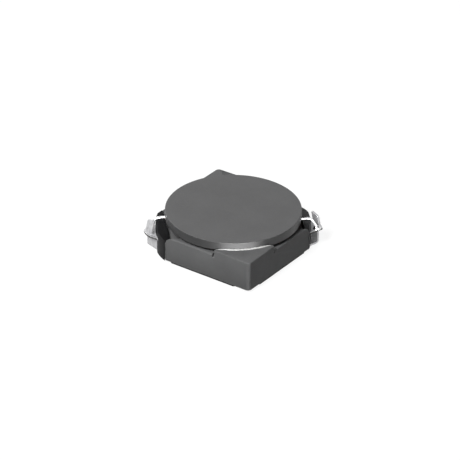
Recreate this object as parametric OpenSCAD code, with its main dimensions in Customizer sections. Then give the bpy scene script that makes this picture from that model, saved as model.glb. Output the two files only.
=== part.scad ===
// Shielded surface-mount power inductor, about 10.3 mm square and 3.1 mm tall.
// A wound ferrite drum stands on a moulded base. A square ferrite shield drops over it, and the drum's
// wide top flange lies on the shield's two plain corners. The winding's two ends leave over the two cut
// corners and run down to tinned terminals. The origin is the middle of the seating plane, +Z is up,
// and the cut corners point along +X+Y (right) and -X-Y (left).

/* [Shield core] */
// Width and depth of the square shield core
body_side = 10.3; // [10.1:0.1:11]
// Radius of the two plain upright corners
corner_radius = 0.3; // [0.1:0.05:0.6]
// Leg of the flat that cuts off each terminal corner
corner_cut = 2.6; // [2.3:0.05:2.9]
// Thickness of the side walls at their thinnest, beside the bore
wall_thickness = 0.7; // [0.6:0.02:0.8]
// Open slot between the flange and the tops of the side walls
wall_gap = 0.23; // [0.1:0.01:0.35]
// Radius along the top outer edges of the side walls
wall_edge = 0.16; // [0.05:0.01:0.3]
// Distance from the middle of a side to the step up to its corner pad
pad_start = 1.6; // [1.2:0.1:2.2]
// Height of a corner pad's rim above the underside of the flange
pad_rise = 0.16; // [0.08:0.01:0.3]
// Fall of a corner pad from its rim to its outer corner
pad_fall = 0.08; // [0.02:0.01:0.15]
// Radius along the outer edges of the corner pads
pad_edge = 0.08; // [0.03:0.01:0.15]
// Chamfer round the seat that the flange drops into
seat_chamfer = 0.1; // [0.04:0.01:0.14]
// Width of the relief notch at the foot of each pad's step
notch_width = 0.15; // [0.08:0.01:0.3]
// Depth of the relief notch below the wall's top
notch_depth = 0.2; // [0.1:0.01:0.35]
// Depth of the saddle that lets the leads out, below the wall's top
saddle_depth = 0.57; // [0.4:0.01:0.8]

/* [Drum core] */
// Overall height above the seating plane, to the top of the drum
total_height = 3.1; // [3:0.05:3.6]
// How far the top flange reaches out past the shield's bore
flange_overlap = 0.7; // [0.55:0.01:0.75]
// Thickness of the top flange
flange_thickness = 0.7; // [0.5:0.05:0.9]
// Radius of the top flange's edges
flange_edge = 0.1; // [0.04:0.01:0.2]
// Gap between the lower flange and the shield's bore
bore_clearance = 0.15; // [0.08:0.01:0.3]
// Thickness of the lower flange
lower_flange_thickness = 0.55; // [0.4:0.05:0.8]
// Diameter of the drum's centre post
post_diameter = 4.6; // [4:0.1:5.2]

/* [Winding] */
// Diameter of the enamelled wire
wire_diameter = 0.19; // [0.14:0.01:0.2]
// How far the winding's face lies in from the lower flange's edge, at least
winding_margin = 0.35; // [0.2:0.01:0.5]
// Offset of each lead from the middle of its cut corner
lead_offset = 0.9; // [0.85:0.01:1]
// Slope of each lead from the block's shoulder down to its tab, in degrees
lead_slope = 60; // [55:1:61]

/* [Base] */
// Height of the base's underside above the seating plane
standoff = 0.05; // [0.03:0.01:0.1]
// Thickness of the base's rim, which shows as a thin line under the shield
rim_thickness = 0.1; // [0.08:0.01:0.2]
// Thickness of the base's floor and arms
floor_thickness = 0.35; // [0.3:0.01:0.5]
// Leg of the cut across the base rim's two plain corners
rim_corner_cut = 1.5; // [0.8:0.1:2.2]
// Leg of the cut across the base rim's two terminal corners
rim_terminal_cut = 3.15; // [2.9:0.05:3.5]
// Width of the arms that join the floor to the terminal blocks
arm_width = 2.6; // [2.2:0.1:3]
// How far each terminal block stands out from the shield's cut corner
block_depth = 0.44; // [0.35:0.01:0.6]
// Radius of the shoulder that each lead bends over
shoulder_radius = 0.4; // [0.2:0.02:0.5]
// How far each block's cap reaches in over the shield's saddle
cap_reach = 0.34; // [0.2:0.02:0.5]
// Fall of the cap's top from the lead to its plain end
cap_fall = 0.42; // [0.2:0.02:0.5]
// Fit between the base and the shield
base_clearance = 0.03; // [0.02:0.01:0.06]

/* [Terminals] */
// Thickness of the terminal's sheet metal
sheet = 0.15; // [0.1:0.01:0.2]
// Offset of each terminal from the middle of its cut corner
terminal_offset = 0.19; // [0.1:0.01:0.3]
// Turn of each terminal's face from its cut corner's own, in degrees
terminal_turn = 30; // [20:1:35]
// How far the leg stands out from the shield's cut corner, to the middle of its outer face
leg_reach = 0.67; // [0.62:0.01:0.8]
// Width of the leg and the foot
leg_width = 1.3; // [0.9:0.05:1.4]
// Length of the foot along the board
foot_length = 1.9; // [1.5:0.1:2.2]
// Outer radius of the bend between the foot and the leg
foot_bend = 0.3; // [0.16:0.01:0.35]
// Height of the wire tab's top above the seating plane
tab_height = 1.35; // [1.1:0.05:1.5]
// Width of the wire tab
tab_width = 1.76; // [1.5:0.02:1.9]
// How far the middle of the tab's round rim stands out from the leg
tab_reach = 0.42; // [0.36:0.01:0.5]
// Radius of the tab's round rim
tab_radius = 1.54; // [1.3:0.02:1.8]
// Height of the upright prong above the tab
prong_height = 1.2; // [0.9:0.05:1.25]
// Width of the prong
prong_width = 0.72; // [0.6:0.02:0.8]
// Offset of the prong from the middle of the leg
prong_offset = 0.22; // [0.1:0.01:0.26]
// Distance of the prong's outer face from the middle of the tab's rim
prong_inset = 0.14; // [0.12:0.01:0.2]
// Lean of the prong towards the body, in degrees
prong_lean = 13; // [0:1:16]
// Slope of the prong's top, in degrees
prong_slope = 26; // [0:1:30]
// Radius of the prong's top corners
prong_corner = 0.15; // [0.05:0.01:0.2]

/* [Joining] */
// Radius of the solder mound on each tab
solder_radius = 0.32; // [0.26:0.01:0.4]
// Height of the solder mound
solder_height = 0.26; // [0.2:0.01:0.3]
// Thickness of solder between the lead's end and the tab
solder_film = 0.02; // [0.01:0.01:0.04]
// Thickness of the glue between the flange and its seats
glue_film = 0.03; // [0.02:0.01:0.05]
// Rise of the bead of glue that shows round the flange, above a pad's rim
bead_rise = 0.05; // [0.02:0.01:0.07]

/* [Hidden] */
$fn = 96;

// Room left past a cut so that it leaves no skin
over = 1;
half_side = body_side / 2;
// The cut corner's plane and half its width, seen along the corner's own axis
cut_distance = (body_side - corner_cut) / sqrt(2);
cut_half = corner_cut / sqrt(2);
wire_radius = wire_diameter / 2;

// Heights above the seating plane
rim_top = standoff + rim_thickness;
floor_top = standoff + floor_thickness;
flange_under = total_height - flange_thickness;
wall_top = flange_under - wall_gap;
seat_floor = flange_under - glue_film;
pad_rim = flange_under + pad_rise;
saddle_floor = wall_top - saddle_depth;
tab_under = tab_height - sheet;
// Room between a lead and what it passes
lead_clearance = 0.015;
lead_height = wall_top + wire_radius + lead_clearance;

// Radii from the middle
seat_clearance = 0.04;
bore_radius = half_side - wall_thickness;
flange_radius = bore_radius + flange_overlap;
lower_flange_radius = bore_radius - bore_clearance;
seat_radius = flange_radius + seat_clearance;
corner_reach = half_side * sqrt(2);

// The winding fills the drum's window with whole turns and layers
winding_clearance = 0.03;
winding_inner = post_diameter / 2 + winding_clearance;
window_height = flange_under - floor_top - lower_flange_thickness - 2 * winding_clearance;
turns_high = floor(window_height / wire_diameter);
wire_layers = floor((lower_flange_radius - winding_margin - winding_inner) / wire_diameter);
winding_radius = winding_inner + wire_layers * wire_diameter;

// Distances along a cut corner's axis
block_front = cut_distance + base_clearance;
block_face = cut_distance + block_depth;
leg_middle = cut_distance + leg_reach;
tab_inner = cut_distance + 2 * base_clearance;
// Play between the moulded base and the terminals that are set in it
insert_gap = 0.005;

// Each lead bends round its block's shoulder and slopes down to its tab
shoulder_middle = block_face - shoulder_radius;
lead_bend = shoulder_radius + wire_radius + lead_clearance;
slope_start = shoulder_middle + lead_bend * sin(lead_slope);
slope_top = wall_top - shoulder_radius + lead_bend * cos(lead_slope);
slope_fall = slope_top - tab_height - solder_film - wire_radius * cos(lead_slope);
lead_landing = slope_start + slope_fall / tan(lead_slope);

// Turns a local frame so that its +X runs out through a cut corner, 0 at the right and 1 at the left
module at_terminal(side) {
    rotate([0, 0, 45 + 180 * side]) children();
}

// Extrudes an outline drawn in (y, z) from x = from to x = to
module along_x(from, to) {
    translate([from, 0, 0]) rotate([90, 0, 90]) linear_extrude(to - from) children();
}

// Extrudes an outline drawn in (x, z) from y = from to y = to
module along_y(from, to) {
    translate([0, to, 0]) rotate([90, 0, 0]) linear_extrude(to - from) children();
}

// A wall section: as wide as the body, up to a height, with both top corners rounded
module rounded_section(height, radius) {
    difference() {
        translate([-half_side, 0]) square([body_side, height]);
        for (side = [0, 1]) mirror([side, 0]) translate([half_side - radius, height - radius])
            difference() {
                square(radius + over);
                circle(radius);
            }
    }
}

// The shield seen from above, without its bore: a square with two cut and two rounded corners
module shield_plan() {
    difference() {
        square(body_side, center = true);
        for (turn = [0, 180]) rotate(turn) {
            rotate(45) translate([cut_distance, -body_side]) square([body_side, 2 * body_side]);
            translate([half_side - corner_radius, corner_radius - half_side]) difference() {
                translate([0, -corner_radius - over]) square(corner_radius + over);
                circle(corner_radius);
            }
        }
    }
}

// Four walls with rounded top edges, all at one height
module shield_walls() {
    intersection() {
        translate([0, 0, rim_top]) linear_extrude(wall_top - rim_top) shield_plan();
        along_x(-half_side, half_side) rounded_section(wall_top, wall_edge);
        along_y(-half_side, half_side) rounded_section(wall_top, wall_edge);
    }
}

// A raised pad at each plain corner, whose top falls gently outwards
module shield_pads() {
    pad_top = pad_rim - pad_fall;
    intersection() {
        translate([0, 0, rim_top]) linear_extrude(pad_rim) intersection() {
            shield_plan();
            for (turn = [0, 180]) rotate(turn)
                translate([pad_start, -pad_start - body_side]) square(body_side);
        }
        union() {
            intersection() {
                along_x(-half_side, half_side) rounded_section(pad_top, pad_edge);
                along_y(-half_side, half_side) rounded_section(pad_top, pad_edge);
            }
            translate([0, 0, pad_top - pad_edge]) linear_extrude(pad_rim) offset_square(pad_edge);
        }
        rotate_extrude() polygon([[0, 0], [corner_reach, 0], [corner_reach, pad_top],
                                  [seat_radius, pad_rim], [0, pad_rim]]);
    }
}

// The body's square drawn in by a margin
module offset_square(margin) {
    square(body_side - 2 * margin, center = true);
}

// The lead saddle in a cut corner, as an outline in (y, z): rounded shoulders down to a flat floor
module saddle_outline(clearance) {
    difference() {
        translate([-cut_half - saddle_depth, saddle_floor + clearance])
            square([2 * (cut_half + saddle_depth), total_height]);
        for (side = [-1, 1]) translate([side * (cut_half + saddle_depth), saddle_floor])
            circle(saddle_depth + clearance);
    }
}

// The seat that the flange drops into, with its chamfered rim
module flange_seat() {
    rotate_extrude() polygon([[0, seat_floor], [seat_radius, seat_floor],
                              [seat_radius, pad_rim - seat_chamfer],
                              [seat_radius + seat_chamfer + over, pad_rim + over],
                              [0, pad_rim + over]]);
}

// Pressed and fired ferrite ring: square outside, round inside
module shield_core() {
    color("dimgray") difference() {
        union() {
            shield_walls();
            shield_pads();
        }
        cylinder(h = total_height, r = bore_radius);
        flange_seat();
        for (side = [0, 1]) {
            at_terminal(side) along_x(0, corner_reach) saddle_outline(0);
            // Channel under the cut corner for the base's arm
            at_terminal(side) translate([0, -arm_width / 2 - base_clearance, 0])
                cube([corner_reach, arm_width + 2 * base_clearance, floor_top + base_clearance]);
            // Relief notches where the walls meet a pad
            rotate([0, 0, 180 * side]) translate([pad_start - notch_width, -half_side - over,
                                                  wall_top - notch_depth])
                cube([notch_width, half_side, total_height]);
            rotate([0, 0, 180 * side]) translate([over, -pad_start, wall_top - notch_depth])
                cube([half_side, notch_width, total_height]);
        }
    }
}

// A flange's section from the middle outwards, with rounded outer corners
module flange_section(radius, bottom, thickness, edge) {
    difference() {
        translate([0, bottom]) square([radius, thickness]);
        for (side = [0, 1]) translate([radius - edge, bottom + side * (thickness - 2 * edge) + edge])
            mirror([0, 1 - side]) difference() {
                square(edge + over);
                circle(edge);
            }
    }
}

// Ferrite drum: a wide top flange, a round post and a smaller lower flange, ground in one piece
module drum_core() {
    color("gray") rotate_extrude() {
        flange_section(flange_radius, flange_under, flange_thickness, flange_edge);
        flange_section(lower_flange_radius, floor_top, lower_flange_thickness, flange_edge);
        translate([0, floor_top + lower_flange_thickness - flange_edge])
            square([post_diameter / 2, flange_under - floor_top - lower_flange_thickness
                                       + 2 * flange_edge]);
    }
}

// A bend of round wire in the local XZ plane, turned up from +X by a start angle and then by a sweep
module wire_bend(radius, start, sweep) {
    rotate([0, -start, 0]) rotate([90, 0, 0])
        rotate_extrude(angle = sweep) translate([radius, 0]) circle(wire_radius);
}

// One end of the winding: out under the flange, over the block's shoulder and down to the tab
module lead() {
    lead_start = winding_inner + wire_radius;
    translate([0, -lead_offset, 0]) {
        translate([lead_start, 0, lead_height]) rotate([0, 90, 0])
            cylinder(h = shoulder_middle - lead_start, r = wire_radius);
        translate([shoulder_middle, 0, wall_top - shoulder_radius])
            wire_bend(lead_bend, 90 - lead_slope, lead_slope);
        translate([slope_start, 0, slope_top]) rotate([0, 90 + lead_slope, 0])
            cylinder(h = slope_fall / sin(lead_slope), r = wire_radius);
    }
}

// Enamelled copper wire wound in layers on the post, its outer turns round, with both leads
module winding() {
    bottom = flange_under - winding_clearance - turns_high * wire_diameter;
    color("chocolate") {
        rotate_extrude() {
            translate([winding_inner, bottom])
                square([winding_radius - wire_radius - winding_inner, turns_high * wire_diameter]);
            for (turn = [0 : turns_high - 1])
                translate([winding_radius - wire_radius, bottom + (turn + 0.5) * wire_diameter])
                    circle(wire_radius);
        }
        for (side = [0, 1]) at_terminal(side) lead();
    }
}

// Plan of a terminal block: the flat of the cut corner bulged out to a round face
module block_plan() {
    bulge_radius = (pow(cut_half, 2) + pow(block_depth, 2)) / (2 * block_depth);
    intersection() {
        translate([block_face - bulge_radius, 0]) circle(bulge_radius);
        translate([block_front, -cut_half]) square([block_depth, 2 * cut_half]);
    }
}

// Plan of the cap: the block and the part of the body's corner behind it
module cap_plan() {
    block_plan();
    intersection() {
        rotate(-45) offset_square(base_clearance);
        translate([cut_distance - cap_reach, -body_side / 2])
            square([cap_reach + 2 * base_clearance, body_side]);
    }
}

// The cap from outside, in (y, z): level under the lead and falling towards the plain end
module cap_outline() {
    level_end = wire_diameter - lead_offset;
    intersection() {
        saddle_outline(base_clearance);
        polygon([[-half_side, standoff], [half_side, standoff],
                 [half_side, wall_top - cap_fall], [cut_half, wall_top - cap_fall],
                 [level_end, wall_top], [-half_side, wall_top]]);
    }
}

// One terminal block with the cap that lies in the shield's saddle
module terminal_block() {
    intersection() {
        union() {
            translate([0, 0, standoff]) linear_extrude(saddle_floor + base_clearance - standoff)
                block_plan();
            intersection() {
                translate([0, 0, saddle_floor]) linear_extrude(total_height) cap_plan();
                along_x(0, corner_reach) cap_outline();
            }
        }
        // Rounded shoulder along the block's outer top edge
        along_y(-half_side, half_side) difference() {
            square([block_face, wall_top]);
            translate([block_face - shoulder_radius, wall_top - shoulder_radius]) difference() {
                square(shoulder_radius + over);
                circle(shoulder_radius);
            }
        }
    }
}

// Black moulded base: floor, thin rim under the shield, two arms and two terminal blocks
module base() {
    color([0.09, 0.09, 0.1]) difference() {
        union() {
            translate([0, 0, standoff]) linear_extrude(rim_thickness) base_rim_plan();
            translate([0, 0, standoff])
                cylinder(h = floor_thickness, r = bore_radius - base_clearance);
            for (side = [0, 1]) at_terminal(side) {
                translate([0, -arm_width / 2, standoff])
                    cube([block_front + base_clearance, arm_width, floor_thickness]);
                terminal_block();
            }
        }
        for (side = [0, 1]) at_terminal(side) terminal_pockets();
    }
}

// The hollows that the moulding leaves round a terminal's tab, leg and foot
module terminal_pockets() {
    leg_edge = leg_width / 2 + insert_gap;
    translate([0, 0, tab_under - insert_gap]) wire_tab(sheet + 2 * insert_gap, insert_gap);
    at_leg() {
        translate([-sheet - insert_gap, -leg_edge, 0]) cube([sheet + 2 * insert_gap, 2 * leg_edge, tab_under]);
        translate([-foot_length - insert_gap, -leg_edge, 0])
            cube([foot_length, 2 * leg_edge, sheet + insert_gap]);
    }
}

// The rim seen from above: just inside the shield's sides, with all four corners cut off
module base_rim_plan() {
    rim_inset = 0.02;
    intersection() {
        offset_square(rim_inset);
        rotate(45) square([body_side - rim_terminal_cut, body_side - rim_corner_cut] * sqrt(2), center = true);
    }
}

// Turns a local frame so that its origin is at the foot of the leg's outer face and its +X faces outwards
module at_leg() {
    translate([leg_middle, -terminal_offset, 0]) rotate([0, 0, terminal_turn]) children();
}

// One terminal folded from tinned sheet: foot, leg, round wire tab moulded into the block, and prong
module terminal() {
    at_leg() {
        // Foot and leg, with a round bend between them
        along_y(-leg_width / 2, leg_width / 2) difference() {
            translate([-foot_length, 0]) square([foot_length, tab_under]);
            translate([-foot_length - over, sheet]) square([foot_length - sheet + over, tab_under]);
            translate([-foot_bend, foot_bend]) mirror([0, 1]) difference() {
                square(foot_bend + over);
                circle(foot_bend);
            }
        }
        prong();
    }
    translate([0, 0, tab_under]) wire_tab(sheet, 0);
}

// The tab that takes the wire: a round rim outside and a straight end inside the block
module wire_tab(thickness, margin) {
    half_width = tab_width / 2 + margin;
    intersection() {
        at_leg() intersection() {
            translate([tab_reach - tab_radius, 0, 0]) cylinder(h = thickness, r = tab_radius + margin);
            translate([-tab_width, -half_width, 0]) cube([2 * tab_width, 2 * half_width, thickness]);
        }
        translate([tab_inner - margin, -body_side, 0]) cube([body_side, 2 * body_side, thickness]);
    }
}

// The prong's outline in (y, z): straight sides, a sloping top and two round top corners
module prong_outline() {
    corner_high = prong_height + sheet - prong_corner;
    corner_low = corner_high - (prong_width - 2 * prong_corner) * tan(prong_slope);
    corner_side = prong_width / 2 - prong_corner;
    tangent = prong_corner * [-sin(prong_slope), cos(prong_slope)];
    foot = sheet * tan(prong_lean);
    polygon([[-prong_width / 2, foot], [prong_width / 2, foot], [prong_width / 2, corner_high],
             [corner_side, corner_high] + tangent, [-corner_side, corner_low] + tangent,
             [-prong_width / 2, corner_low]]);
    translate([corner_side, corner_high]) circle(prong_corner);
    translate([-corner_side, corner_low]) circle(prong_corner);
}

// The prong stands up from the tab near its rim and leans towards the body
module prong() {
    translate([tab_reach - prong_inset, -prong_offset, tab_under]) rotate([0, -prong_lean, 0])
        along_x(-sheet, 0) prong_outline();
}

module terminal_left() {
    color("gainsboro") at_terminal(1) terminal();
}

module terminal_right() {
    color("gainsboro") at_terminal(0) terminal();
}

// A low round mound of solder over the lead's end, kept on the tab
module solder() {
    mound_radius = (pow(solder_radius, 2) + pow(solder_height, 2)) / (2 * solder_height);
    difference() {
        intersection() {
            translate([lead_landing, -lead_offset, tab_height]) rotate_extrude() intersection() {
                translate([0, solder_height - mound_radius]) circle(mound_radius);
                square([solder_radius, solder_height]);
            }
            translate([0, 0, tab_height]) wire_tab(solder_height, 0);
        }
        lead();
        terminal();
        translate([0, -half_side, 0]) cube([block_face, body_side, total_height]);
    }
}

module solder_left() {
    color("silver") at_terminal(1) solder();
}

module solder_right() {
    color("silver") at_terminal(0) solder();
}

// The glue's section from the middle outwards: a film under the flange and a bead round its side
module glue_section() {
    glue_inset = 0.1;
    bead_outer = seat_radius + seat_chamfer;
    bead_half = (bead_outer - flange_radius) / 2;
    bead_radius = (pow(bead_half, 2) + pow(bead_rise, 2)) / (2 * bead_rise);
    difference() {
        union() {
            polygon([[bore_radius + glue_inset, seat_floor], [seat_radius, seat_floor],
                     [seat_radius, pad_rim - seat_chamfer], [bead_outer, pad_rim],
                     [flange_radius - flange_edge, pad_rim],
                     [flange_radius - flange_edge, seat_floor + glue_film],
                     [bore_radius + glue_inset, seat_floor + glue_film]]);
            intersection() {
                translate([flange_radius + bead_half, pad_rim + bead_rise - bead_radius]) circle(bead_radius);
                translate([flange_radius, pad_rim]) square(bead_half * 2);
            }
        }
        flange_section(flange_radius, flange_under, flange_thickness, flange_edge);
    }
}

// The glue on one pad. The turn is 0 at the front and 180 at the back
module glue(turn) {
    bead_end = pad_start + 0.05;
    rotate([0, 0, turn]) intersection() {
        rotate_extrude() glue_section();
        translate([bead_end, -bead_end - body_side, 0]) cube([body_side, body_side, total_height]);
    }
}

module glue_front() {
    color("ivory") glue(0);
}

module glue_back() {
    color("ivory") glue(180);
}

drum_core();
winding();
shield_core();
base();
terminal_left();
terminal_right();
solder_left();
solder_right();
glue_front();
glue_back();
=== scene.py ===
import math

import bmesh
import bpy
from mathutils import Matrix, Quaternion, Vector


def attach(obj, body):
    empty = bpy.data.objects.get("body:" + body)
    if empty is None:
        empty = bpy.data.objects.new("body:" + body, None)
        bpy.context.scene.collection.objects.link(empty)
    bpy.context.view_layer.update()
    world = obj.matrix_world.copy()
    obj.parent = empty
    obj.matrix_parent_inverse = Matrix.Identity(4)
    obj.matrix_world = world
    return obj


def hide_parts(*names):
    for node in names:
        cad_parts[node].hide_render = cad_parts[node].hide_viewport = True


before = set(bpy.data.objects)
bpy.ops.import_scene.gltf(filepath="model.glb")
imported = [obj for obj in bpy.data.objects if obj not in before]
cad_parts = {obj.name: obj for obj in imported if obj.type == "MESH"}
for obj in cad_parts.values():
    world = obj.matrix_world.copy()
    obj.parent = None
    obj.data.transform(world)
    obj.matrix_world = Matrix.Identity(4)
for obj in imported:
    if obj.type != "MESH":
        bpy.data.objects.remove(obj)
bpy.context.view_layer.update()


# --- Shield core ---------------------------------------------------------------------------------
# Square ring of grey ferrite, pressed from powder and fired. Its two plain corners rise into pads
# that carry the drum's flange. The other two corners are cut off flat, and each has a saddle that
# lets a lead out. The die leaves every edge slightly broken and the faces finely grained.

# The part is small, so each piece is worked with 1 mm as 1 and brought to its real size at the end
mm = 0.001


def start_piece():
    """Nothing stays selected when a new piece is begun."""
    if bpy.context.object and bpy.context.object.mode != "OBJECT":
        bpy.ops.object.mode_set(mode="OBJECT")
    bpy.ops.object.select_all(action="DESELECT")


def take_up(piece):
    """Makes one piece the only one selected."""
    start_piece()
    piece.select_set(True)
    bpy.context.view_layer.objects.active = piece


def settle(name):
    """Names the piece just added and puts its place into its mesh."""
    piece = bpy.context.object
    piece.name = name
    piece.data.name = name
    bpy.ops.object.transform_apply(location=True, rotation=True, scale=True)
    return piece


def block(name, low, high):
    """A rectangular blank between two corners, in millimetres."""
    start_piece()
    bpy.ops.mesh.primitive_cube_add(size=1, location=[(a + b) / 2 for a, b in zip(low, high)],
                                    scale=[b - a for a, b in zip(low, high)])
    return settle(name)


def round_bar(name, radius, low, high, sides=192):
    """A round blank standing on the middle of the part, in millimetres."""
    start_piece()
    bpy.ops.mesh.primitive_cylinder_add(vertices=sides, radius=radius, depth=high - low,
                                        location=(0, 0, (low + high) / 2))
    return settle(name)


def turned(piece, angle):
    """Turns a piece round the part's upright axis, into its mesh."""
    take_up(piece)
    piece.rotation_euler.z = math.radians(angle)
    bpy.ops.object.transform_apply(location=False, rotation=True, scale=False)
    return piece


def copy_turned(piece, name, angle):
    """A second piece like the first, with its own mesh, turned round the upright axis."""
    take_up(piece)
    bpy.ops.object.duplicate()
    twin = bpy.context.object
    twin.name = name
    twin.data.name = name
    return turned(twin, angle)


def work(piece, tool, operation):
    """Cuts or joins a piece with a tool, which is used up."""
    take_up(piece)
    modifier = piece.modifiers.new(operation.lower(), "BOOLEAN")
    modifier.operation = operation
    modifier.solver = "EXACT"
    modifier.object = tool
    bpy.ops.object.modifier_apply(modifier=modifier.name)
    bpy.data.objects.remove(tool, do_unlink=True)


def pick_edges(piece, wanted):
    """In edit mode, selects the edges whose two ends, in millimetres, pass a test."""
    bpy.ops.mesh.select_all(action="DESELECT")
    bpy.ops.mesh.select_mode(type="EDGE")
    shape = bmesh.from_edit_mesh(piece.data)
    for edge in shape.edges:
        edge.select_set(wanted(edge.verts[0].co, edge.verts[1].co))
    bmesh.update_edit_mesh(piece.data)


def pick_faces(piece, wanted):
    """In edit mode, selects the faces whose middle, in millimetres, and normal pass a test."""
    bpy.ops.mesh.select_all(action="DESELECT")
    bpy.ops.mesh.select_mode(type="FACE")
    shape = bmesh.from_edit_mesh(piece.data)
    for face in shape.faces:
        face.select_set(wanted(face.calc_center_median(), face.normal))
    bmesh.update_edit_mesh(piece.data)


def saw(piece, point, normal):
    """Saws off what lies beyond a plane and closes the cut."""
    take_up(piece)
    bpy.ops.object.mode_set(mode="EDIT")
    bpy.ops.mesh.select_all(action="SELECT")
    bpy.ops.mesh.bisect(plane_co=point, plane_no=normal, use_fill=True, clear_outer=True)
    bpy.ops.object.mode_set(mode="OBJECT")


# Points of a mesh closer together than this, in millimetres, are made one
weld_gap = 0.0008


def break_edges(piece, width):
    """Cleans a worked shape and breaks its sharp edges by a width in millimetres."""
    take_up(piece)
    bpy.ops.object.mode_set(mode="EDIT")
    bpy.ops.mesh.select_all(action="SELECT")
    bpy.ops.mesh.remove_doubles(threshold=weld_gap)
    bpy.ops.mesh.dissolve_limited(angle_limit=math.radians(0.4))
    bpy.ops.mesh.normals_make_consistent(inside=False)
    bpy.ops.object.mode_set(mode="OBJECT")
    if width:
        modifier = piece.modifiers.new("broken edges", "BEVEL")
        modifier.width = width
        modifier.segments = 2
        modifier.limit_method = "ANGLE"
        modifier.angle_limit = math.radians(35)
        bpy.ops.object.modifier_apply(modifier=modifier.name)
    bpy.ops.object.shade_smooth_by_angle(angle=math.radians(34))
    modifier = piece.modifiers.new("even shading", "WEIGHTED_NORMAL")
    modifier.keep_sharp = True
    bpy.ops.object.modifier_apply(modifier=modifier.name)


# The walls, their cut corners, and the plain corners, which are sawn off where the pads hide it
half_side = 5.15
shield_bottom = 0.15
wall_top = 2.17
wall_round = 0.16
cut_distance = 5.445
cut_half = 1.838
hidden_cut = 4.3
edge_break = 0.025

# The pads, whose tops fall from the seat's rim out to the corner, and the notches beside them
pad_rim = 2.56
pad_top = 2.48
pad_start = 1.95
pad_corner = 0.3
pad_edge = 0.08
notch_width = 0.22
notch_depth = 0.24

# The bore, the seat, and the saddles with the channels under them
bore_radius = 4.45
seat_radius = 5.19
seat_floor = 2.37
seat_flare = 0.3
flare_depth = 0.1
saddle_floor = 1.6
saddle_depth = 0.57
channel_half = 1.33
channel_top = 0.43
past_corner = 7.5

# Four walls at one height, with rounded top edges and the corners sawn off
shield = block("shield_core_body",
               (-half_side, -half_side, shield_bottom), (half_side, half_side, wall_top))
bpy.ops.object.mode_set(mode="EDIT")
pick_edges(shield, lambda a, b: min(a.z, b.z) > wall_top - 0.01)
bpy.ops.mesh.bevel(offset=wall_round, segments=6, affect="EDGES")
bpy.ops.object.mode_set(mode="OBJECT")
for way in (1, -1):
    cut = way * cut_distance / math.sqrt(2)
    saw(shield, (cut, cut, 0), (way, way, 0))
    saw(shield, (way * hidden_cut, -way * hidden_cut, 0), (way, -way, 0))

# The two corner pads, rounded outside and falling gently outwards
pad = block("pad", (pad_start, -half_side, shield_bottom), (half_side, -pad_start, pad_rim + 0.1))
bpy.ops.object.mode_set(mode="EDIT")
pick_edges(pad, lambda a, b: min(a.x, b.x) > half_side - 0.01 and max(a.y, b.y) < 0.01 - half_side)
bpy.ops.mesh.bevel(offset=pad_corner, segments=8, affect="EDGES")
bpy.ops.object.mode_set(mode="OBJECT")
# A wide cone gives the slope. Its top lies inside the seat, where the pad is cut away later.
fall = (pad_rim - pad_top) / (half_side * math.sqrt(2) - seat_radius)
cone_inset = 0.3
cone_top = pad_rim + cone_inset * fall
start_piece()
bpy.ops.mesh.primitive_cone_add(vertices=256, radius1=seat_radius - cone_inset + cone_top / fall,
                                radius2=seat_radius - cone_inset, depth=cone_top,
                                location=(0, 0, cone_top / 2))
work(pad, settle("pad slope"), "INTERSECT")
take_up(pad)
bpy.ops.object.mode_set(mode="EDIT")


def on_outer_edge(a, b):
    """Whether an edge runs round the outside of the pad's top, with its round corner."""
    corner = Vector((half_side - pad_corner, pad_corner - half_side))
    for point in (a, b):
        on_wall = max(point.x, -point.y) > half_side - 0.01
        past = point.x > corner.x and point.y < corner.y
        on_corner = past and (point.xy - corner).length > pad_corner - 0.01
        if point.z < pad_top - 0.02 or not (on_wall or on_corner):
            return False
    return True


pick_edges(pad, on_outer_edge)
bpy.ops.mesh.bevel(offset=pad_edge, segments=4, affect="EDGES")
bpy.ops.object.mode_set(mode="OBJECT")
work(shield, copy_turned(pad, "back pad", 180), "UNION")
work(shield, pad, "UNION")

# The bore, and above it the seat that the flange drops into, flared at its rim
bore = round_bar("bore", bore_radius, -1, seat_floor, sides=256)
bpy.ops.object.mode_set(mode="EDIT")
pick_faces(bore, lambda middle, normal: normal.z > 0.9)
for rise, wider in ((0, seat_radius / bore_radius), (pad_rim - flare_depth - seat_floor, 1),
                    (seat_flare, 1 + seat_flare / seat_radius)):
    bpy.ops.mesh.extrude_region_move(TRANSFORM_OT_translate={"value": (0, 0, rise)})
    bpy.ops.transform.resize(value=(wider, wider, 1), center_override=(0, 0, 0))
bpy.ops.object.mode_set(mode="OBJECT")
work(shield, bore, "DIFFERENCE")

# Saddles, arm channels and the relief notches beside the pads
saddle_half = cut_half + saddle_depth
saddle = block("saddle", (0, -saddle_half, saddle_floor), (past_corner, saddle_half, 3.1))


def shoulder_bars(name, radius, middle):
    """The two round bars that shape the shoulders of a saddle, or of what lies in it, in turn."""
    for side in (1, -1):
        start_piece()
        bpy.ops.mesh.primitive_cylinder_add(
            vertices=64, radius=radius, depth=9, rotation=(0, math.pi / 2, 0),
            location=(middle, side * saddle_half, saddle_floor))
        yield settle(name)


for bar in shoulder_bars("saddle shoulder", saddle_depth, 3.5):
    work(saddle, bar, "DIFFERENCE")
channel = block("channel", (0, -channel_half, -0.5), (past_corner, channel_half, channel_top))
work(saddle, channel, "UNION")
for name, angle in (("right saddle", 45), ("left saddle", 225)):
    work(shield, copy_turned(saddle, name, angle), "DIFFERENCE")
bpy.data.objects.remove(saddle)
notch_floor = wall_top - notch_depth
for angle in (0, 180):
    for low, high in (((pad_start - notch_width, -6, notch_floor), (pad_start, -3, 3.5)),
                      ((3, -pad_start, notch_floor), (6, notch_width - pad_start, 3.5))):
        work(shield, turned(block("notch", low, high), angle), "DIFFERENCE")
break_edges(shield, edge_break)


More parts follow.
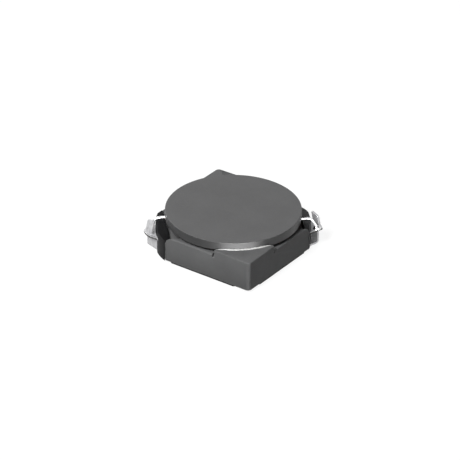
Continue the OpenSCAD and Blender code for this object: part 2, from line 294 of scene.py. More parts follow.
def bring_to_size(piece):
    """Brings a piece that was worked in millimetres to its real size in metres."""
    take_up(piece)
    piece.scale = (mm, mm, mm)
    bpy.ops.object.transform_apply(location=False, rotation=False, scale=True)
    return piece


def new_finish(name):
    """A new material with its main shader and a pattern that stays put on the part."""
    material = bpy.data.materials.new(name)
    material.use_nodes = True
    nodes = material.node_tree.nodes
    shader = nodes["Principled BSDF"]
    place = nodes.new("ShaderNodeTexCoord")
    return material, nodes, material.node_tree.links, shader, place.outputs["Object"]


def grain(nodes, links, place, size, detail=3.0, stretch=(1, 1, 1)):
    """Fine random grain of a size in millimetres, from 0 to 1."""
    mapping = nodes.new("ShaderNodeMapping")
    mapping.inputs["Scale"].default_value = [value / (size * mm) for value in stretch]
    noise = nodes.new("ShaderNodeTexNoise")
    noise.inputs["Scale"].default_value = 1
    noise.inputs["Detail"].default_value = detail
    noise.inputs["Roughness"].default_value = 0.6
    links.new(place, mapping.inputs["Vector"])
    links.new(mapping.outputs["Vector"], noise.inputs["Vector"])
    return noise.outputs["Fac"]


def spread(nodes, links, value, low, high, start=0.3, end=0.7):
    """Turns a grain into a number between two others."""
    ranged = nodes.new("ShaderNodeMapRange")
    ranged.inputs["From Min"].default_value = start
    ranged.inputs["From Max"].default_value = end
    ranged.inputs["To Min"].default_value = low
    ranged.inputs["To Max"].default_value = high
    links.new(value, ranged.inputs["Value"])
    return ranged.outputs["Result"]


def tint(nodes, links, value, low, high):
    """A colour between two others."""
    mix = nodes.new("ShaderNodeMix")
    mix.data_type = "RGBA"
    links.new(value, mix.inputs["Factor"])
    for socket, colour in (("A", low), ("B", high)):
        socket = [one for one in mix.inputs if one.name == socket and one.type == "RGBA"][0]
        if isinstance(colour, bpy.types.NodeSocket):
            links.new(colour, socket)
        else:
            socket.default_value = (*colour, 1)
    return [one for one in mix.outputs if one.type == "RGBA"][0]


def worn_and_highlit_edge(nodes, links, radius):
    """How much a spot lies on an outer edge, from 0 to 1, for lightening that is partly handling
    wear and partly painted highlight.
    """
    soft = nodes.new("ShaderNodeBevel")
    soft.samples = 6
    soft.inputs["Radius"].default_value = radius * mm
    flat = nodes.new("ShaderNodeNewGeometry")
    match = nodes.new("ShaderNodeVectorMath")
    match.operation = "DOT_PRODUCT"
    links.new(soft.outputs["Normal"], match.inputs[0])
    links.new(flat.outputs["Normal"], match.inputs[1])
    return spread(nodes, links, match.outputs["Value"], 1, 0, start=0.8, end=0.99)


def relief(nodes, links, shader, heights):
    """Fine relief from grains, each with its depth in millimetres."""
    normal = None
    for value, depth in heights:
        bump = nodes.new("ShaderNodeBump")
        bump.inputs["Strength"].default_value = 1
        bump.inputs["Distance"].default_value = depth * mm
        links.new(value, bump.inputs["Height"])
        if normal:
            links.new(normal, bump.inputs["Normal"])
        normal = bump.outputs["Normal"]
    links.new(normal, shader.inputs["Normal"])


pressed_ferrite, nodes, links, shader, place = new_finish("pressed_ferrite")
cloud = spread(nodes, links, grain(nodes, links, place, 1.8), 0, 1)
speck = spread(nodes, links, grain(nodes, links, place, 0.09, 4), 0, 1, 0.35, 0.75)
pale_grain = spread(nodes, links, grain(nodes, links, place, 0.05, 2), 0, 0.5, 0.5, 0.8)
# Outer edges are lightened, partly as handling wear and partly as a painted highlight
wear_and_highlight = spread(nodes, links, worn_and_highlit_edge(nodes, links, 0.05), 0, 0.55, 0, 1)
colour = tint(nodes, links, cloud, (0.108, 0.109, 0.11), (0.126, 0.127, 0.128))
colour = tint(nodes, links, pale_grain, colour, (0.17, 0.17, 0.172))
colour = tint(nodes, links, wear_and_highlight, colour, (0.22, 0.22, 0.22))
links.new(colour, shader.inputs["Base Color"])
links.new(spread(nodes, links, speck, 0.52, 0.68, 0, 1), shader.inputs["Roughness"])
shader.inputs["Specular IOR Level"].default_value = 0.08
relief(nodes, links, shader, [(speck, 0.004), (cloud, 0.01)])
shield.data.materials.append(pressed_ferrite)
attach(bring_to_size(shield), "root")
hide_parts("shield_core")


# --- Drum core -----------------------------------------------------------------------------------
# Ferrite spool ground from one blank: a wide top flange, a round post for the wire and a smaller
# lower flange. Grinding leaves the top flat and even. The flange's side is ground as the spool
# turns, which leaves it with a sheen. Its near-black colour is painted shade.

total_height = 3.1
flange_radius = 5.15
flange_under = 2.4
post_radius = 2.3
lower_flange_radius = 4.3
lower_flange_top = 0.95
floor_top = 0.4
rim_break = 0.05
drum = round_bar("drum_core_body", flange_radius, flange_under, total_height, sides=256)
bpy.ops.object.mode_set(mode="EDIT")
pick_faces(drum, lambda middle, normal: normal.z < -0.9)
bpy.ops.mesh.inset(thickness=flange_radius - post_radius)
bpy.ops.mesh.extrude_region_move(
    TRANSFORM_OT_translate={"value": (0, 0, lower_flange_top - flange_under)})
bpy.ops.mesh.extrude_region_move()
wider = lower_flange_radius / post_radius
bpy.ops.transform.resize(value=(wider, wider, 1), center_override=(0, 0, lower_flange_top))
bpy.ops.mesh.extrude_region_move(
    TRANSFORM_OT_translate={"value": (0, 0, floor_top - lower_flange_top)})


def on_flange_rim(a, b):
    """Whether an edge runs round the outside of either flange."""
    radius = flange_radius if a.z > 2 else lower_flange_radius
    return abs(a.z - b.z) < 0.01 and all(abs(end.xy.length - radius) < 0.01 for end in (a, b))


pick_edges(drum, on_flange_rim)
bpy.ops.mesh.bevel(offset=rim_break, segments=4, affect="EDGES")
# A narrow band inside the rim keeps the rest of the top flat in its shading
pick_faces(drum, lambda middle, normal: normal.z > 0.99 and middle.z > 3)
bpy.ops.mesh.inset(thickness=0.06)
bpy.ops.object.mode_set(mode="OBJECT")
break_edges(drum, 0)

ground_ferrite, nodes, links, shader, place = new_finish("ground_ferrite")
cloud = spread(nodes, links, grain(nodes, links, place, 2.6), 0, 1)
speck = spread(nodes, links, grain(nodes, links, place, 0.07, 4), 0, 1, 0.35, 0.75)
lay = spread(nodes, links, grain(nodes, links, place, 0.03, 3, stretch=(0.08, 1, 0.5)), 0, 1)
pale_grain = spread(nodes, links, speck, 0, 0.35, 0.4, 1)
# The rim is lightened, partly as handling wear and partly as a painted highlight
wear_and_highlight = spread(nodes, links, worn_and_highlit_edge(nodes, links, 0.05), 0, 0.3, 0, 1)
colour = tint(nodes, links, cloud, (0.104, 0.104, 0.105), (0.116, 0.116, 0.117))
colour = tint(nodes, links, pale_grain, colour, (0.17, 0.17, 0.172))
colour = tint(nodes, links, wear_and_highlight, colour, (0.2, 0.2, 0.2))
links.new(colour, shader.inputs["Base Color"])
links.new(spread(nodes, links, lay, 0.44, 0.56, 0, 1), shader.inputs["Roughness"])
shader.inputs["Specular IOR Level"].default_value = 0.06
relief(nodes, links, shader, [(lay, 0.0012), (speck, 0.0015)])
drum.data.materials.append(ground_ferrite)

# The flange's side, where the marks of grinding run round and draw each highlight out upright
ground_side_painted_shade, nodes, links, shader, place = new_finish("ground_side_painted_shade")
cloud = spread(nodes, links, grain(nodes, links, place, 1.5), 0, 1)
lay = spread(nodes, links, grain(nodes, links, place, 0.05, 3, stretch=(0.3, 0.3, 1)), 0, 1)
# Near-black colour, painted shade that makes the flange's side darker than its top
colour = tint(nodes, links, cloud, (0.01, 0.01, 0.0105), (0.015, 0.015, 0.0155))
links.new(colour, shader.inputs["Base Color"])
links.new(spread(nodes, links, lay, 0.4, 0.48, 0, 1), shader.inputs["Roughness"])
shader.inputs["IOR"].default_value = 1.5
shader.inputs["Anisotropic"].default_value = 0.75
shader.inputs["Anisotropic Rotation"].default_value = 0.25
round_about = nodes.new("ShaderNodeTangent")
round_about.direction_type = "RADIAL"
round_about.axis = "Z"
links.new(round_about.outputs["Tangent"], shader.inputs["Tangent"])
relief(nodes, links, shader, [(lay, 0.0012)])
drum.data.materials.append(ground_side_painted_shade)
for face in drum.data.polygons:
    if flange_under < face.center.z < total_height and abs(face.normal.z) < 0.3:
        face.material_index = 1
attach(bring_to_size(drum), "root")
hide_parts("drum_core")


# --- Base ----------------------------------------------------------------------------------------
# Black thermoplastic moulding under the cores: a thin rim, a round floor that carries the drum, and
# two arms that run out under the cut corners to the terminal blocks. Each block is bowed outwards,
# has a rounded shoulder for the lead, and a cap that lies in the shield's saddle.

# The rim, floor and arms
rim_half = 5.13
rim_top = 0.15
rim_cut = 3.575
rim_plain_cut = 4.4
standoff = 0.05
fit_gap = 0.03
arm_half = 1.3

# The blocks, and where the lead and the terminal stand on them, off the block's middle
block_front = 5.475
block_face = 5.885
bow_depth = 0.44
shoulder_radius = 0.4
cap_reach = 0.34
cap_root = 0.06
cap_corner = 7.24
cap_fall = 0.42
lead_offset = 0.9
terminal_offset = 0.19

base = block("base_moulding", (-rim_half, -rim_half, standoff), (rim_half, rim_half, rim_top))
for way in (1, -1):
    saw(base, (way * rim_cut, way * rim_cut, 0), (way, way, 0))
    saw(base, (way * rim_plain_cut, -way * rim_plain_cut, 0), (way, -way, 0))
work(base, round_bar("floor", bore_radius - fit_gap, standoff, floor_top), "UNION")

# One terminal block, with the shoulder that the lead bends over, cut to its bowed plan. It stops
# a hair short of the bow, so that the two don't just touch.
terminal_block = block("terminal block", (block_front, -cut_half, standoff),
                       (block_face - 0.001, cut_half, wall_top))
bpy.ops.object.mode_set(mode="EDIT")
pick_edges(terminal_block, lambda a, b: (min(a.x, b.x) > block_front + 0.1
                                         and min(a.z, b.z) > wall_top - 0.1))
bpy.ops.mesh.bevel(offset=shoulder_radius, segments=12, affect="EDGES")
bpy.ops.object.mode_set(mode="OBJECT")
bow = (cut_half ** 2 + bow_depth ** 2) / (2 * bow_depth)
start_piece()
bpy.ops.mesh.primitive_cylinder_add(vertices=384, radius=bow, depth=4,
                                    location=(block_face - bow, 0, 1))
work(terminal_block, settle("bow"), "INTERSECT")

# Its cap reaches in over the saddle and has the saddle's round shoulders
cap_half = cut_half + 0.5
cap = block("cap", (cut_distance - cap_reach, -cap_half, saddle_floor),
            (cut_distance + cap_root, cap_half, wall_top))
for way in (1, -1):
    saw(cap, (cap_corner, 0, 0), (1, way, 0))
work(terminal_block, cap, "UNION")
for bar in shoulder_bars("cap shoulder", saddle_depth + fit_gap, 5):
    work(terminal_block, bar, "DIFFERENCE")

# The top is level under the lead and falls towards the plain end
level_end = terminal_offset - lead_offset
wedge = block("wedge", (4, 0, 0), (7, 4, 1))
wedge.location = (0, level_end, wall_top)
wedge.rotation_euler.x = -math.atan2(cap_fall, cut_half - level_end)
bpy.ops.object.transform_apply(location=True, rotation=True, scale=False)
work(terminal_block, wedge, "DIFFERENCE")
arm = block("arm", (4, -arm_half, standoff), (block_front + fit_gap, arm_half, floor_top))
work(terminal_block, arm, "UNION")
work(base, copy_turned(terminal_block, "left block", 225), "UNION")
work(base, turned(terminal_block, 45), "UNION")

# The pockets that the terminals sit in follow the foot and the leg
leg_middle = 6.115
leg_half = 0.65
foot_length = 1.9
tab_top = 1.35
sheet = 0.15
terminal_turn = 30


def set_at_leg(piece):
    """Sets a piece made in the leg's own directions at its place on the block."""
    take_up(piece)
    piece.rotation_euler.z = math.radians(terminal_turn)
    piece.location = (leg_middle, -terminal_offset, 0)
    bpy.ops.object.transform_apply(location=True, rotation=True, scale=False)
    return piece


# Each is a little larger than the metal, and the two are not quite alike
leg_room = 0.006
foot_room = 0.007
leg_pocket = ((-sheet - leg_room, -leg_half - leg_room, -1),
              (sheet + 0.1, leg_half + leg_room, tab_top - sheet))
foot_pocket = ((-foot_length - foot_room, -leg_half - foot_room, -1),
               (0.2, leg_half + foot_room, sheet + leg_room))
for angle in (45, 225):
    for name, (low, high) in (("leg pocket", leg_pocket), ("foot pocket", foot_pocket)):
        work(base, turned(set_at_leg(block(name, low, high)), angle), "DIFFERENCE")
break_edges(base, edge_break)

black_moulding, nodes, links, shader, place = new_finish("black_moulding")
cloud = spread(nodes, links, grain(nodes, links, place, 1.2), 0, 1)
speck = spread(nodes, links, grain(nodes, links, place, 0.06, 3), 0, 1)
# Outer edges are lightened, partly as handling wear and partly as a painted highlight
wear_and_highlight = spread(nodes, links, worn_and_highlit_edge(nodes, links, 0.04), 0, 0.6, 0, 1)
colour = tint(nodes, links, cloud, (0.005, 0.005, 0.0055), (0.009, 0.009, 0.0095))
colour = tint(nodes, links, wear_and_highlight, colour, (0.03, 0.03, 0.031))
links.new(colour, shader.inputs["Base Color"])
links.new(spread(nodes, links, speck, 0.36, 0.5, 0, 1), shader.inputs["Roughness"])
shader.inputs["Specular IOR Level"].default_value = 0.05
relief(nodes, links, shader, [(speck, 0.002), (cloud, 0.006)])
base.data.materials.append(black_moulding)
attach(bring_to_size(base), "root")
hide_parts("base")


# --- Terminals -----------------------------------------------------------------------------------
# Two terminals punched from tinned sheet 0.15 mm thick. Each has a foot that bends in under the
# body, an upright leg, a round tab that takes the wire, and a prong that stands up beside it. They
# are set in the blocks at an angle. Tin leaves them bright, with soft edges and faint streaks.

foot_bend = 0.3
tab_radius = 1.54
tab_half = 0.88
tab_reach = 0.42
tab_end = 5.505
prong_half = 0.36
prong_top = 1.35
prong_fall = 0.2
prong_corner = 0.14
prong_lean = 13
prong_out = 0.28
prong_offset = 0.22

# Foot and leg: a flat strip bent up, then given its thickness
start_piece()
bpy.ops.mesh.primitive_plane_add(size=1, location=(-foot_length / 2, 0, 0))
bpy.context.object.scale = (foot_length, 2 * leg_half, 1)
strip = settle("strip")
bpy.ops.object.mode_set(mode="EDIT")
pick_edges(strip, lambda a, b: min(a.x, b.x) > -0.01)
bpy.ops.mesh.extrude_region_move(TRANSFORM_OT_translate={"value": (0, 0, tab_top - 0.03)})
pick_edges(strip, lambda a, b: min(a.x, b.x) > -0.01 and max(a.z, b.z) < 0.01)
bpy.ops.mesh.bevel(offset=foot_bend, segments=8, affect="EDGES")
bpy.ops.mesh.select_all(action="SELECT")
bpy.ops.mesh.normals_make_consistent(inside=False)
bpy.ops.object.mode_set(mode="OBJECT")
thickness = strip.modifiers.new("sheet", "SOLIDIFY")
thickness.thickness = sheet
thickness.offset = -1
bpy.ops.object.modifier_apply(modifier="sheet")

# Prong: upright plate with a sloping top and round corners, leaning towards the body
prong = block("prong", (-sheet, -prong_half, 0.04), (0, prong_half, prong_top))
bpy.ops.object.mode_set(mode="EDIT")
pick_edges(prong, lambda a, b: max(a.y, b.y) < 0.01 - prong_half and min(a.z, b.z) > 1)
bpy.ops.transform.translate(value=(0, 0, -prong_fall))
pick_edges(prong, lambda a, b: min(a.z, b.z) > 1 and abs(a.y - b.y) < 0.01)
bpy.ops.mesh.bevel(offset=prong_corner, segments=8, affect="EDGES")
bpy.ops.object.mode_set(mode="OBJECT")
prong.rotation_euler.y = math.radians(-prong_lean)
prong.location = (prong_out, -prong_offset, tab_top - sheet)
bpy.ops.object.transform_apply(location=True, rotation=True, scale=False)

# Wire tab: a piece of a round disc with its sides sheared off
start_piece()
bpy.ops.mesh.primitive_cylinder_add(vertices=192, radius=tab_radius, depth=sheet,
                                    location=(tab_reach - tab_radius, 0, tab_top - sheet / 2))
terminal = settle("terminal_right_metal")
for way in (1, -1):
    saw(terminal, (0, way * tab_half, 0), (0, way, 0))
work(terminal, prong, "UNION")
work(terminal, strip, "UNION")
set_at_leg(terminal)
bpy.ops.object.mode_set(mode="EDIT")
bpy.ops.mesh.select_all(action="SELECT")
bpy.ops.mesh.remove_doubles(threshold=weld_gap)
bpy.ops.object.mode_set(mode="OBJECT")
# The tab ends just inside the block
end = block("tab end", (3, -3, tab_top - sheet - 0.2), (tab_end, 3, tab_top + 0.2))
work(terminal, end, "DIFFERENCE")
break_edges(terminal, 0.022)
turned(terminal, 45)

tinned_sheet, nodes, links, shader, place = new_finish("tinned_sheet")
cloud = spread(nodes, links, grain(nodes, links, place, 0.5), 0, 1)
streak = spread(nodes, links, grain(nodes, links, place, 0.12, 4, stretch=(1, 1, 0.15)), 0, 1)
bright_patch = spread(nodes, links, cloud, 0, 0.4, 0, 1)
colour = tint(nodes, links, streak, (0.3, 0.3, 0.31), (0.55, 0.55, 0.56))
colour = tint(nodes, links, bright_patch, colour, (0.68, 0.68, 0.69))
# Edges are tinted nearly white, partly as wear and partly as a painted highlight
colour = tint(nodes, links, worn_and_highlit_edge(nodes, links, 0.05), colour, (0.92, 0.92, 0.93))
links.new(colour, shader.inputs["Base Color"])
shader.inputs["Metallic"].default_value = 0.35
links.new(spread(nodes, links, streak, 0.36, 0.5, 0, 1), shader.inputs["Roughness"])
relief(nodes, links, shader, [(streak, 0.003), (cloud, 0.01)])
terminal.data.materials.append(tinned_sheet)

# The tab's punched rim is bare and dull. Its dark colour is painted shade, as on a thin side in
# shadow.
tab_rim_painted_shade, nodes, links, shader, place = new_finish("tab_rim_painted_shade")
cloud = spread(nodes, links, grain(nodes, links, place, 0.08, 4), 0, 1)
colour = tint(nodes, links, cloud, (0.04, 0.039, 0.037), (0.09, 0.087, 0.083))
links.new(colour, shader.inputs["Base Color"])
links.new(spread(nodes, links, cloud, 0.45, 0.6, 0, 1), shader.inputs["Roughness"])
shader.inputs["Specular IOR Level"].default_value = 0.2
relief(nodes, links, shader, [(cloud, 0.006)])
terminal.data.materials.append(tab_rim_painted_shade)
for face in terminal.data.polygons:
    outside = face.center.xy.length > block_face
    in_tab = tab_top - sheet < face.center.z < tab_top - 0.015
    if outside and in_tab and abs(face.normal.z) < 0.75:
        face.material_index = 1
for piece, node in ((copy_turned(terminal, "terminal_left_metal", 180), "terminal_left"),
                    (terminal, "terminal_right")):
    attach(bring_to_size(piece), "root")
    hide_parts(node)


# --- Winding -------------------------------------------------------------------------------------
# Enamelled copper wire, 0.19 mm thick, in tight layers on the drum's post. Its two ends pass out
# under the flange, bend over the blocks' shoulders and run down to the tabs. Dipping in solder has
# taken the enamel off the ends and left them bright.

wire_radius = 0.095
winding_radius = 3.85
winding_bottom = 1.04
winding_top = 2.35
turns_high = 7
start_piece()
bpy.ops.mesh.primitive_circle_add(vertices=12, radius=wire_radius, rotation=(math.pi / 2, 0, 0),
                                  location=(winding_radius - wire_radius, 0,
                                            winding_bottom + wire_radius))
turns = settle("winding_turns")
coil = turns.modifiers.new("turns", "SCREW")
coil.axis = "Z"
coil.angle = math.tau
coil.screw_offset = 2 * wire_radius
coil.iterations = turns_high - 1
coil.steps = coil.render_steps = 96
coil.use_merge_vertices = True
coil.merge_threshold = 0.0005
bpy.ops.object.modifier_apply(modifier="turns")
bpy.ops.object.mode_set(mode="EDIT")
bpy.ops.mesh.select_all(action="SELECT")
bpy.ops.mesh.fill_holes(sides=12)
bpy.ops.mesh.normals_make_consistent(inside=False)
bpy.ops.object.mode_set(mode="OBJECT")
bpy.ops.object.shade_smooth_by_angle(angle=math.radians(60))

# The layers below the outer one
layers = round_bar("winding_layers", winding_radius - wire_radius, winding_bottom + 0.02,
                   winding_top, sides=128)
work(layers, round_bar("post hole", post_radius + fit_gap, 0, 4, sides=128), "DIFFERENCE")
break_edges(layers, 0.05)

enamelled_copper, nodes, links, shader, place = new_finish("enamelled_copper")
cloud = spread(nodes, links, grain(nodes, links, place, 0.7), 0, 1)
colour = tint(nodes, links, cloud, (0.42, 0.13, 0.05), (0.55, 0.2, 0.08))
links.new(colour, shader.inputs["Base Color"])
shader.inputs["Metallic"].default_value = 1
links.new(spread(nodes, links, cloud, 0.25, 0.4, 0, 1), shader.inputs["Roughness"])
shader.inputs["Coat Weight"].default_value = 0.6
shader.inputs["Coat Roughness"].default_value = 0.15
relief(nodes, links, shader, [(cloud, 0.004)])
for piece in (turns, layers):
    piece.data.materials.append(enamelled_copper)
    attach(bring_to_size(piece), "root")
    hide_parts("winding")

# One lead: a circle drawn out straight, spun over the shoulder and drawn on down to the tab
lead_start = 3.6
lead_height = 2.28
lead_slope = math.radians(60)
lead_gap = 0.015
solder_film = 0.02
shoulder_middle = block_face - shoulder_radius
lead_bend = shoulder_radius + wire_radius + lead_gap
slope_top = wall_top - shoulder_radius + lead_bend * math.cos(lead_slope)
slope_start = shoulder_middle + lead_bend * math.sin(lead_slope)
slope_fall = slope_top - tab_top - solder_film - wire_radius * math.cos(lead_slope)
lead_landing = slope_start + slope_fall / math.tan(lead_slope)
start_piece()
bpy.ops.mesh.primitive_circle_add(vertices=20, radius=wire_radius, fill_type="NGON",
                                  rotation=(0, math.pi / 2, 0),
                                  location=(lead_start, -lead_offset, lead_height))
lead = settle("lead_right")
bpy.ops.object.mode_set(mode="EDIT")
bpy.ops.mesh.select_all(action="SELECT")
bpy.ops.mesh.extrude_region_move(
    TRANSFORM_OT_translate={"value": (shoulder_middle - lead_start, 0, 0)})
bpy.ops.mesh.spin(steps=14, angle=-lead_slope, axis=(0, 1, 0),
                  center=(shoulder_middle, -lead_offset, wall_top - shoulder_radius))
down = slope_fall + 0.03
bpy.ops.mesh.extrude_region_move(
    TRANSFORM_OT_translate={"value": (down / math.tan(lead_slope), 0, -down)})
bpy.ops.mesh.select_all(action="SELECT")
bpy.ops.mesh.remove_doubles(threshold=weld_gap)
bpy.ops.mesh.normals_make_consistent(inside=False)
bpy.ops.object.mode_set(mode="OBJECT")
bpy.ops.object.shade_smooth_by_angle(angle=math.radians(60))
turned(lead, 45)

tinned_wire, nodes, links, shader, place = new_finish("tinned_wire")
cloud = spread(nodes, links, grain(nodes, links, place, 0.25), 0, 1)
colour = tint(nodes, links, cloud, (0.62, 0.62, 0.63), (0.76, 0.76, 0.77))
links.new(colour, shader.inputs["Base Color"])
shader.inputs["Metallic"].default_value = 0.5
links.new(spread(nodes, links, cloud, 0.4, 0.52, 0, 1), shader.inputs["Roughness"])
relief(nodes, links, shader, [(cloud, 0.006)])
lead.data.materials.append(tinned_wire)
for piece in (copy_turned(lead, "lead_left", 180), lead):
    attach(bring_to_size(piece), "root")
    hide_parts("winding")


# --- Solder --------------------------------------------------------------------------------------
# A small mound of solder holds each lead's end on its tab. It set round, with a foot that runs out
# thin over the tin.

mound_radius = 0.3
mound_height = 0.26
foot_height = 0.05
foot_drop = 0.035
foot_spread = 1.12
foot_sink = 0.013
start_piece()
bpy.ops.mesh.primitive_uv_sphere_add(segments=40, ring_count=24, radius=mound_radius,
                                     location=(lead_landing - 0.02, -lead_offset,
                                               tab_top + mound_height - mound_radius))
solder = settle("solder_right_mound")
saw(solder, (0, 0, tab_top + foot_height), (0, 0, -1))
bpy.ops.object.mode_set(mode="EDIT")
# The foot widens down to the tin
pick_faces(solder, lambda middle, normal: normal.z < -0.9)
bpy.ops.mesh.extrude_region_move(TRANSFORM_OT_translate={"value": (0, 0, -foot_drop)})
bpy.ops.transform.resize(value=(foot_spread, foot_spread, 1),
                         center_override=(lead_landing, -lead_offset, 0))
bpy.ops.mesh.extrude_region_move(TRANSFORM_OT_translate={"value": (0, 0, -foot_sink)})
bpy.ops.object.mode_set(mode="OBJECT")
smooth = solder.modifiers.new("set", "SUBSURF")
smooth.levels = smooth.render_levels = 1
bpy.ops.object.modifier_apply(modifier="set")
bpy.ops.object.shade_smooth_by_angle(angle=math.radians(60))
turned(solder, 45)

bright_solder, nodes, links, shader, place = new_finish("bright_solder")
cloud = spread(nodes, links, grain(nodes, links, place, 0.18), 0, 1)
colour = tint(nodes, links, cloud, (0.66, 0.66, 0.67), (0.84, 0.84, 0.84))
links.new(colour, shader.inputs["Base Color"])
shader.inputs["Metallic"].default_value = 1
links.new(spread(nodes, links, cloud, 0.16, 0.34, 0, 1), shader.inputs["Roughness"])
relief(nodes, links, shader, [(cloud, 0.012)])
solder.data.materials.append(bright_solder)
for piece, node in ((copy_turned(solder, "solder_left_mound", 180), "solder_left"),
                    (solder, "solder_right")):
    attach(bring_to_size(piece), "root")
    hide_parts(node)


# --- Glue ----------------------------------------------------------------------------------------
# Epoxy holds the flange on the two pads: a thin film under it, and a glossy bead that was pressed
# out of the seat's groove and set round the flange's side. It thins out towards its ends.

bead_radius = 0.5 * (flange_radius + seat_radius + 0.1)
bead_height = 2.535
bead_thick = 0.075
bead_half_sweep = 22.6
thin_end = 0.25
end_drop = 0.03
swell = 1.15
start_piece()
bpy.ops.mesh.primitive_circle_add(vertices=20, radius=1, fill_type="NGON",
                                  rotation=(math.pi / 2, 0, 0),
                                  location=(bead_radius, 0, bead_height))
bpy.context.object.scale = (bead_thick, bead_thick, 1)
bead = settle("glue_front_bead")
bpy.ops.object.mode_set(mode="EDIT")
bpy.ops.mesh.select_all(action="SELECT")
bpy.ops.mesh.spin(steps=96, angle=math.radians(-2 * bead_half_sweep), center=(0, 0, 0),
                  axis=(0, 0, 1))
bpy.ops.mesh.select_all(action="SELECT")
bpy.ops.mesh.remove_doubles(threshold=weld_gap)
bpy.ops.mesh.fill_holes(sides=20)
bpy.ops.mesh.normals_make_consistent(inside=False)
bpy.ops.object.mode_set(mode="OBJECT")
turned(bead, -45 - bead_half_sweep)
# Its thickness wanders a little, and both ends run out thin and a little lower
for vertex in bead.data.vertices:
    along = math.degrees(math.atan2(vertex.co.y, vertex.co.x)) + 45
    full = max(thin_end, 1 - min(1, abs(along) / bead_half_sweep) ** 8)
    wander = (1 + 0.1 * math.sin(along * 0.9 + 1) + 0.07 * math.sin(along * 2.3)
              + 0.05 * math.sin(along * 5.1 + 2))
    middle = Vector((vertex.co.x, vertex.co.y, 0)).normalized() * bead_radius
    out = vertex.co - Vector((middle.x, middle.y, bead_height))
    middle.z = bead_height - end_drop * (1 - full)
    vertex.co = middle + out * (full * wander * swell)
bpy.ops.object.shade_smooth_by_angle(angle=math.radians(60))

film = round_bar("glue_front_film", seat_radius - 0.02, seat_floor + 0.001, flange_under - 0.001)
work(film, round_bar("film hole", bore_radius + 0.1, 0, 4), "DIFFERENCE")
film_start = pad_start + 0.05
work(film, block("front pad only", (film_start, -6, 2), (6, -film_start, 3)), "INTERSECT")
break_edges(film, 0)

clear_glue, nodes, links, shader, place = new_finish("clear_glue")
cloud = spread(nodes, links, grain(nodes, links, place, 0.4), 0, 1)
colour = tint(nodes, links, cloud, (0.5, 0.5, 0.49), (0.64, 0.64, 0.63))
links.new(colour, shader.inputs["Base Color"])
links.new(spread(nodes, links, cloud, 0.3, 0.42, 0, 1), shader.inputs["Roughness"])
shader.inputs["Specular IOR Level"].default_value = 0.3
relief(nodes, links, shader, [(cloud, 0.004)])
for piece in (bead, film):
    piece.data.materials.append(clear_glue)
for piece, node in ((copy_turned(bead, "glue_back_bead", 180), "glue_back"),
                    (copy_turned(film, "glue_back_film", 180), "glue_back"),
                    (bead, "glue_front"), (film, "glue_front")):
    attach(bring_to_size(piece), "root")
    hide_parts(node)


# --- Table, lamps and camera ---------------------------------------------------------------------
# A plain pale table top in a pale surround. The main soft lamp stands high in front, with a low one
# to its right, one behind, and a long low strip that only adds gloss.

start_piece()
bpy.ops.mesh.primitive_grid_add(x_subdivisions=8, y_subdivisions=8, size=0.9,
                                location=(0, 0, -0.00002))
table = settle("table_top")
table_paint, nodes, links, shader, place = new_finish("table_paint")
shader.inputs["Base Color"].default_value = (0.15, 0.15, 0.15, 1)
shader.inputs["Roughness"].default_value = 0.9
shader.inputs["Specular IOR Level"].default_value = 0


def background_rays(nodes, links):
    """1 for what the camera, a gloss or a clear piece sees, and 0 for light on the part."""
    seen = nodes.new("ShaderNodeLightPath")
    total = seen.outputs["Is Camera Ray"]
    for ray in ("Is Glossy Ray", "Is Transmission Ray"):
        either = nodes.new("ShaderNodeMath")
        either.operation = "MAXIMUM"
        links.new(total, either.inputs[0])
        links.new(seen.outputs[ray], either.inputs[1])
        total = either.outputs["Value"]
    return total


glow = nodes.new("ShaderNodeEmission")
brightness = spread(nodes, links, background_rays(nodes, links), 0, 0.88, 0, 1)
links.new(brightness, glow.inputs["Strength"])
both = nodes.new("ShaderNodeAddShader")
links.new(shader.outputs["BSDF"], both.inputs[0])
links.new(glow.outputs["Emission"], both.inputs[1])
links.new(both.outputs["Shader"], nodes["Material Output"].inputs["Surface"])
table.data.materials.append(table_paint)

world = bpy.data.worlds.new("surround")
bpy.context.scene.world = world
world.use_nodes = True
nodes, links = world.node_tree.nodes, world.node_tree.links
background = nodes["Background"]
background.inputs["Color"].default_value = (1, 1, 1, 1)
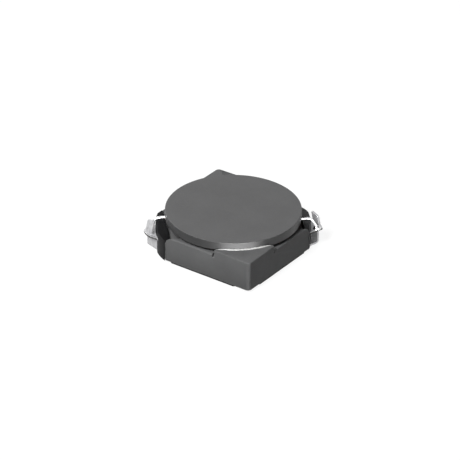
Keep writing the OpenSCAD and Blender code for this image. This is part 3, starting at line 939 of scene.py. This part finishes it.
# White round the horizon, and dimmer overhead, as under a dark studio ceiling
ray = nodes.new("ShaderNodeTexCoord")
rise = nodes.new("ShaderNodeSeparateXYZ")
links.new(ray.outputs["Generated"], rise.inputs["Vector"])
pale = spread(nodes, links, rise.outputs["Z"], 1, 0.2, 0.35, 0.65)
level = nodes.new("ShaderNodeMix")
links.new(background_rays(nodes, links), level.inputs["Factor"])
level.inputs["A"].default_value = 0.06
links.new(pale, level.inputs["B"])
links.new(level.outputs["Result"], background.inputs["Strength"])

# How far the lamps and the camera stand from the part, in metres
studio_distance = 0.4


def direction(azimuth, elevation):
    """The way out from the part. Azimuth 0 is in front and 90 on the right."""
    turn, lift = math.radians(azimuth), math.radians(elevation)
    return Vector((math.sin(turn) * math.cos(lift), -math.cos(turn) * math.cos(lift),
                   math.sin(lift)))


def lamp(name, azimuth, elevation, size, power):
    """A square soft lamp that looks at the part."""
    out = direction(azimuth, elevation)
    start_piece()
    bpy.ops.object.light_add(type="AREA", location=out * studio_distance)
    light = bpy.context.object
    light.name = name
    light.rotation_euler = out.to_track_quat("Z", "Y").to_euler()
    light.data.size = size
    light.data.energy = power
    return light


lamp("key_lamp", -3, 51, 0.12, 1.82)
lamp("front_lamp", 40, 6, 0.07, 0.38)
lamp("back_lamp", 236, 26, 0.12, 0.5)
# A long low strip lamp in front, which shows in glossy pieces alone
strip_lamp = lamp("strip_lamp", 46, 5, 0.42, 10)
strip_lamp.data.shape = "RECTANGLE"
strip_lamp.data.size_y = 0.06
strip_lamp.visible_diffuse = False

start_piece()
away = direction(35.5, 30.3)
camera_roll = Quaternion((0, 0, 1), math.radians(0.5))
aim = Vector((-0.507, 0.292, 0.91)) * mm
bpy.ops.object.camera_add(location=aim + away * studio_distance)
camera = bpy.context.object
camera.name = "camera"
camera.rotation_euler = (away.to_track_quat("Z", "Y") @ camera_roll).to_euler()
camera.data.sensor_width = 36
camera.data.lens = 414.8
camera.data.clip_start = 0.01
camera.data.clip_end = 5
bpy.context.scene.camera = camera
bpy.context.scene.view_settings.view_transform = "Standard"
